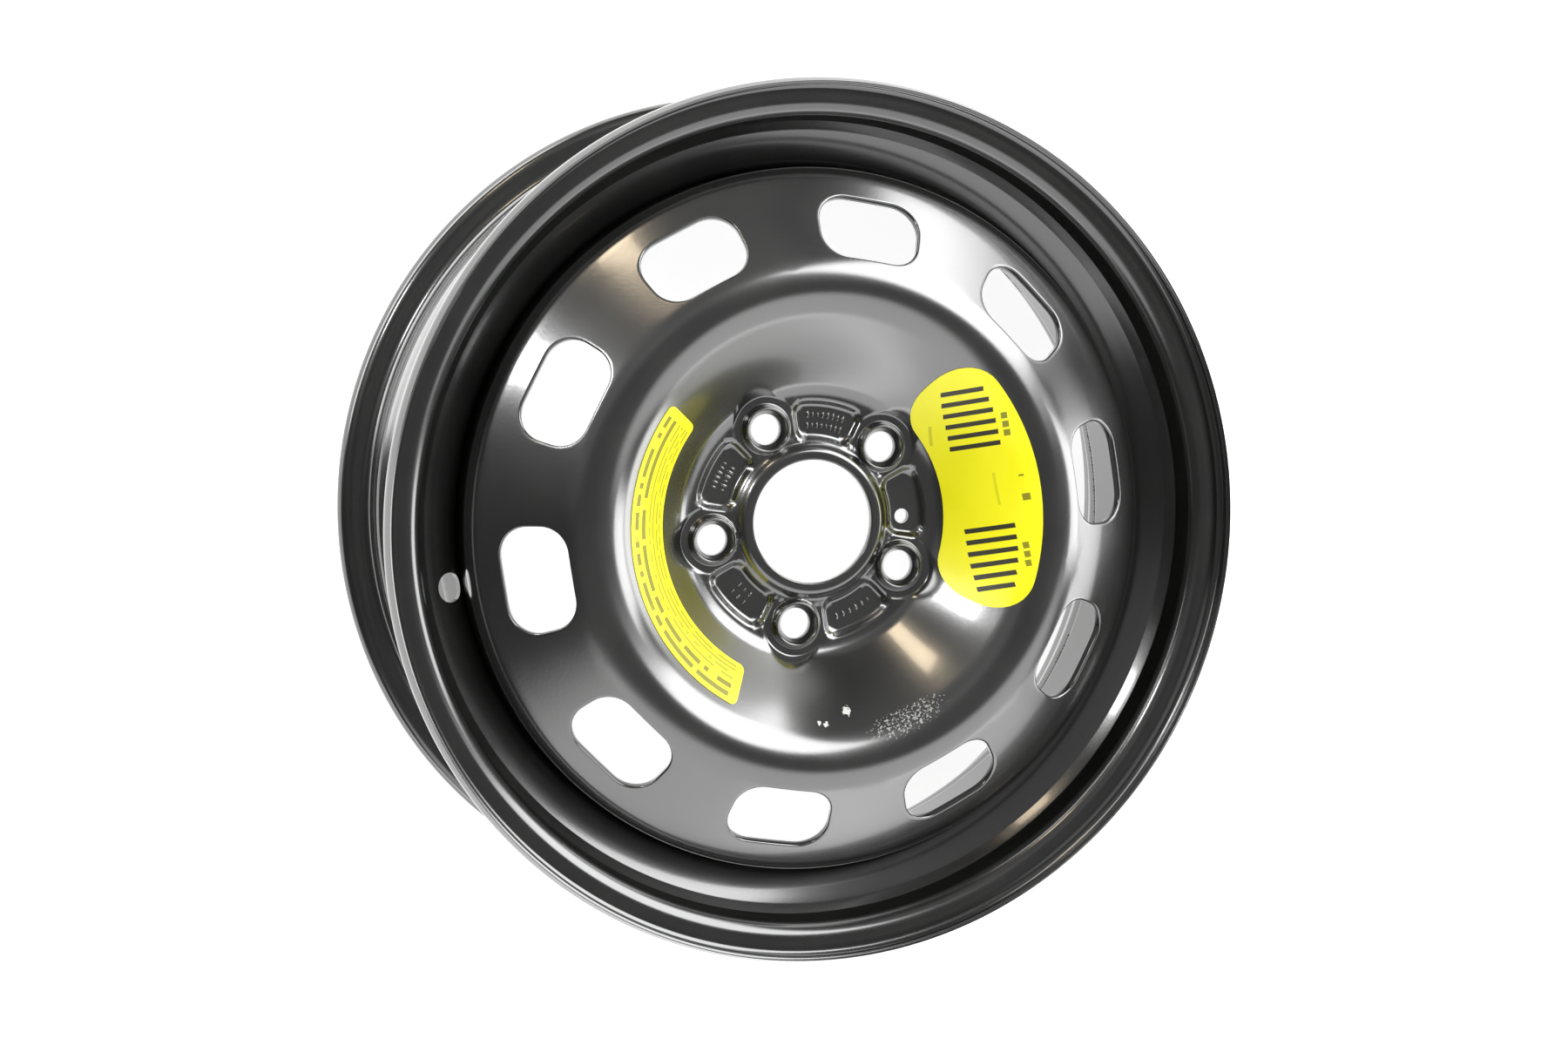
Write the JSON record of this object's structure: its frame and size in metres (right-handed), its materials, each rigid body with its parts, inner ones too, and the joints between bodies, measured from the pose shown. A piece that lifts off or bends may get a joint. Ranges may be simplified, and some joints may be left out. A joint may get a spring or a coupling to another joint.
{
  "type": "car wheel",
  "caption": "Bare pressed-steel spare car wheel: satin black rolled rim with a welded domed disc, vent slots, bolt seats and plain yellow stickers",
  "frame": {"origin": "on the axle, in the plane where the contact pads sit on the hub", "axes": "+Z along the axle to the outboard side, +X through the valve hole"},
  "size_m": [0.4716, 0.4715, 0.1807],
  "materials": {
    "black_paint": "satin black stoved paint on sheet steel",
    "painted_weld": "satin black paint over a rippled weld bead",
    "yellow_film": "yellow printed sticker film"
  },
  "bodies": {
    "root": {"rim": "black_paint", "disc": "black_paint", "weld_beads": "painted_weld", "speed_label": "yellow_film", "notice_label": "yellow_film"}
  },
  "joints": []
}
